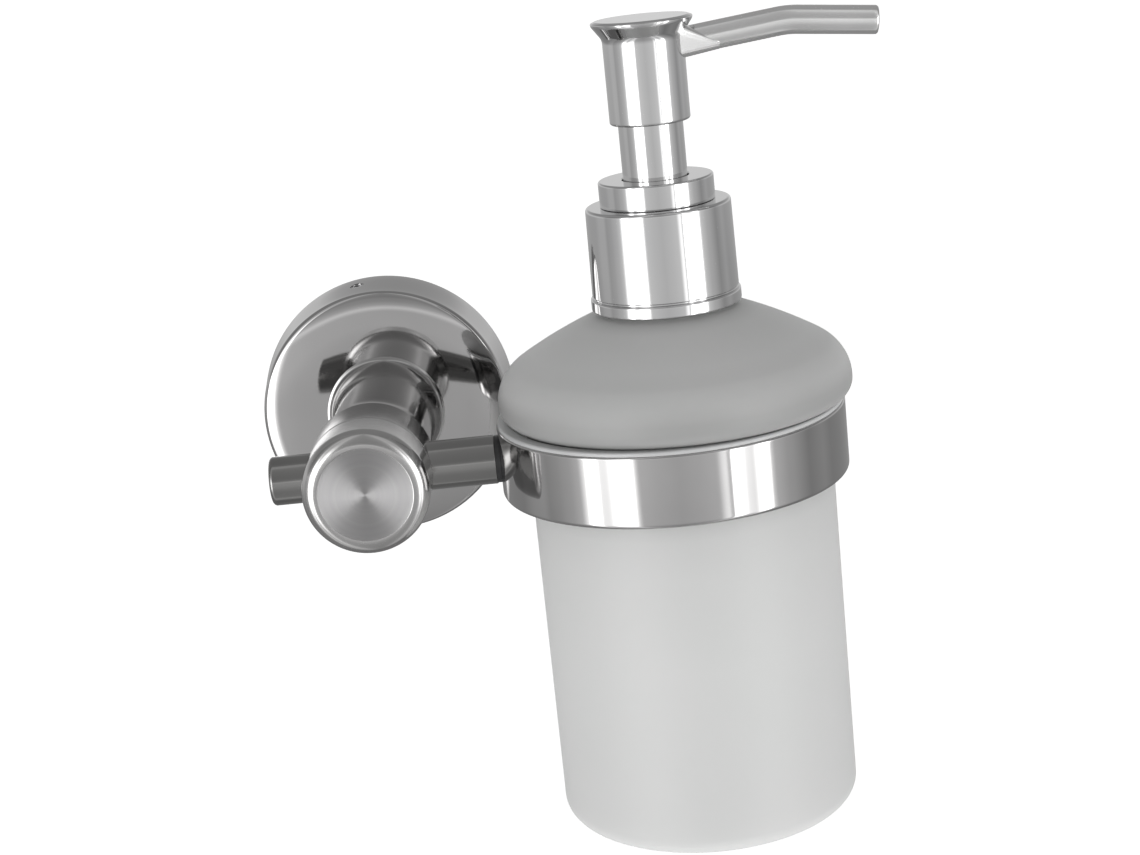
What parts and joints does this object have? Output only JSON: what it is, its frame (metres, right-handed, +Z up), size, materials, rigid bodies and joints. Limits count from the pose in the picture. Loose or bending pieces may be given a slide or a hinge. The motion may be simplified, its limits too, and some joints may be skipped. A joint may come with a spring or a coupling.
{
  "type": "wall mounted soap dispenser",
  "caption": "Frosted glass soap bottle hanging in a chromed ring on a wall flange and cross bar, with a press-down pump that has a swivelling spout.",
  "frame": {"origin": "on the wall plane, at the centre of the bracket's back face, level with the cross bar's axis", "axes": "+X right along the cross bar, towards the bottle; +Y into the wall; +Z up along the bottle's axis"},
  "size_m": [0.1417, 0.0998, 0.1686],
  "materials": {
    "chrome": "polished chrome plate",
    "spun_chrome": "polished side and a face turned to a fine spun grain",
    "steel": "zinc plated",
    "black_plastic": "matte",
    "clear_plastic": "milky, see-through",
    "white_plastic": "smooth moulded",
    "rubber": "matte",
    "frosted_glass": "acid frosted outside"
  },
  "bodies": {
    "holder": {"wall_bracket": "steel", "flange": "chrome", "flange_grub_screw": "steel", "post": "chrome", "post_screw": "steel", "end_cap": "spun_chrome", "cap_stud": "steel", "cross_bar": "chrome", "bar_washer": "black_plastic", "ring_band": "chrome", "ring_screw": "steel", "ring_liner": "clear_plastic"},
    "bottle": {"glass_bottle": "frosted_glass"},
    "neck_seal": {"neck_gasket": "rubber"},
    "pump": {"pump_body": "white_plastic", "guide_bush": "white_plastic", "ball_retainer": "white_plastic", "dip_tube": "clear_plastic", "return_spring": "steel"},
    "closure": {"closure_nut": "white_plastic", "collar_shell": "chrome", "step_ring": "chrome"},
    "ball": {"inlet_ball": "steel"},
    "piston": {"piston_cup": "white_plastic"},
    "head": {"stem_rod": "white_plastic", "stem_sleeve": "chrome", "head_core": "white_plastic", "head_shell": "chrome", "spout_tube": "chrome"}
  },
  "joints": [
    {"name": "bottle_lift", "type": "slide", "parent": "holder", "child": "bottle", "axis": [0, 0, 1], "range_m": [0, 0.095]},
    {"name": "closure_rise", "type": "slide", "parent": "bottle", "child": "neck_seal", "axis": [0, 0, 1], "range_m": [0, 0.0086]},
    {"name": "pump_lift", "type": "slide", "parent": "neck_seal", "child": "pump", "axis": [0, 0, 1], "range_m": [0, 0.125]},
    {"name": "closure_turn", "type": "hinge", "parent": "pump", "child": "closure", "pos_m": [0.065, -0.063, 0.04], "axis": [0, 0, 1], "range_deg": [0, 720]},
    {"name": "ball_lift", "type": "slide", "parent": "pump", "child": "ball", "axis": [0, 0, 1], "range_m": [0, 0.0012]},
    {"name": "pump_press", "type": "slide", "parent": "pump", "child": "piston", "axis": [0, 0, -1], "range_m": [0, 0.01], "stiffness_N_per_m": 600, "springref_m": -0.01, "deforming": ["return_spring"]},
    {"name": "head_swivel", "type": "hinge", "parent": "piston", "child": "head", "pos_m": [0.065, -0.063, 0.075], "axis": [0, 0, 1], "continuous": true}
  ],
  "couplings": [
    {"joint": "closure_rise", "follows": "closure_turn", "m_per_rad": 0.000676}
  ]
}
